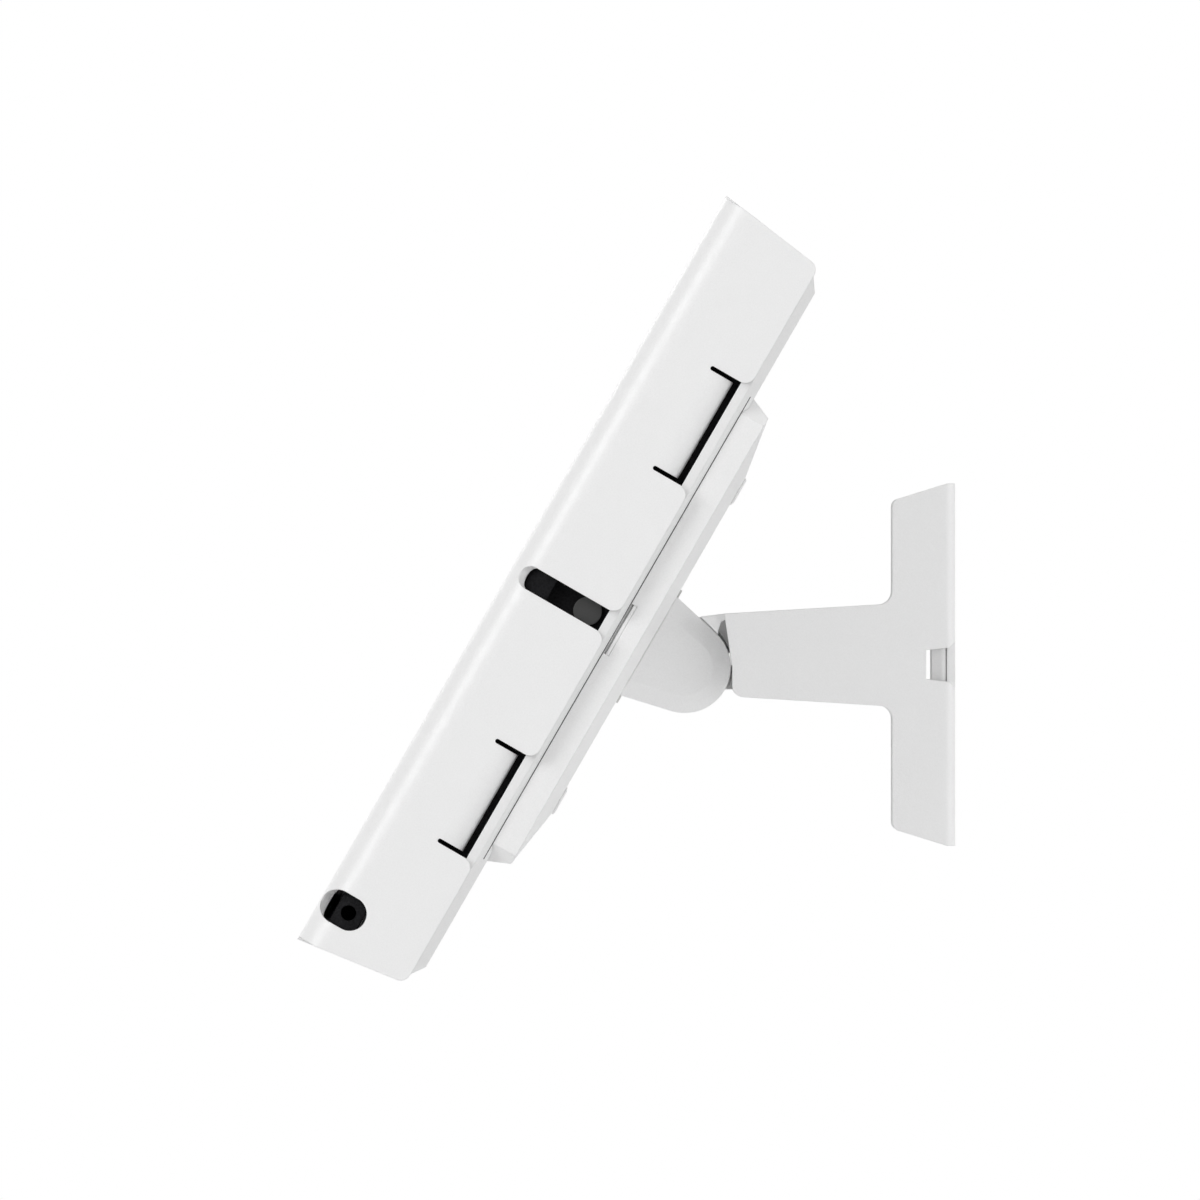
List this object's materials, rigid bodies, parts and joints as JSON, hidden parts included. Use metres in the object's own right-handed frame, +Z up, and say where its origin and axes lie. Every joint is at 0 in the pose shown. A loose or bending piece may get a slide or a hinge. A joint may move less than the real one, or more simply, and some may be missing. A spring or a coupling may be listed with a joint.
{
  "type": "tablet wall mount",
  "caption": "Wall mount with a folded bracket, a tilting knuckle with a swivel, and a white sheet enclosure that frames a tablet.",
  "frame": {"origin": "middle of the wall screw pattern on the back face of the wall plate", "axes": "+Z up, +Y into the wall, X along the wall; the screen faces -Y and leans back 30 degrees at rest"},
  "size_m": [0.28, 0.1581, 0.1879],
  "materials": {
    "white_coat": "fine white powder coat, satin",
    "white_plastic": "moulded white, satin",
    "white_screw": "white painted steel",
    "nylon": "natural nylon",
    "zinc_steel": "zinc plated",
    "black_rubber": "matt",
    "black_foam": "closed-cell foam, matt",
    "light_foam": "closed-cell foam, matt",
    "black_plastic": "moulded, matt"
  },
  "bodies": {
    "bracket": {"wall_bracket": "white_coat", "wall_shoe": "white_coat", "cable_grommet": "black_rubber", "pivot_neck": "white_coat", "friction_washer_right": "nylon", "friction_washer_left": "nylon"},
    "knuckle": {"knuckle_fork": "white_coat", "knuckle_cap_right": "white_plastic", "knuckle_cap_left": "white_plastic", "spring_washer_right": "zinc_steel", "spring_washer_left": "zinc_steel", "tilt_bolt": "zinc_steel", "tilt_nut": "zinc_steel"},
    "head": {"swivel_disc": "nylon", "swivel_hub": "zinc_steel", "hub_washer": "zinc_steel", "hub_nut": "zinc_steel", "front_frame": "white_coat", "back_tray": "white_coat", "rear_cover": "white_coat", "mount_plate": "zinc_steel", "plate_screws": "zinc_steel", "cover_screws": "white_screw", "corner_blocks": "white_coat", "tray_screws": "white_screw", "screen_gasket": "light_foam", "spacer_left": "black_foam", "spacer_right": "black_foam", "spacer_top": "black_foam", "spacer_bottom": "black_foam", "backing_middle": "black_foam", "backing_upper": "black_foam", "backing_lower": "black_foam", "push_rivets": "black_plastic"}
  },
  "joints": [
    {"name": "tilt", "type": "hinge", "parent": "bracket", "child": "knuckle", "pos_m": [0, -0.0652, -0.0006], "axis": [-1, 0, 0], "range_deg": [-45, 4]},
    {"name": "swivel", "type": "hinge", "parent": "knuckle", "child": "head", "pos_m": [0, -0.0652, -0.0006], "axis": [0, 0.866, -0.5], "range_deg": [-90, 90]}
  ]
}
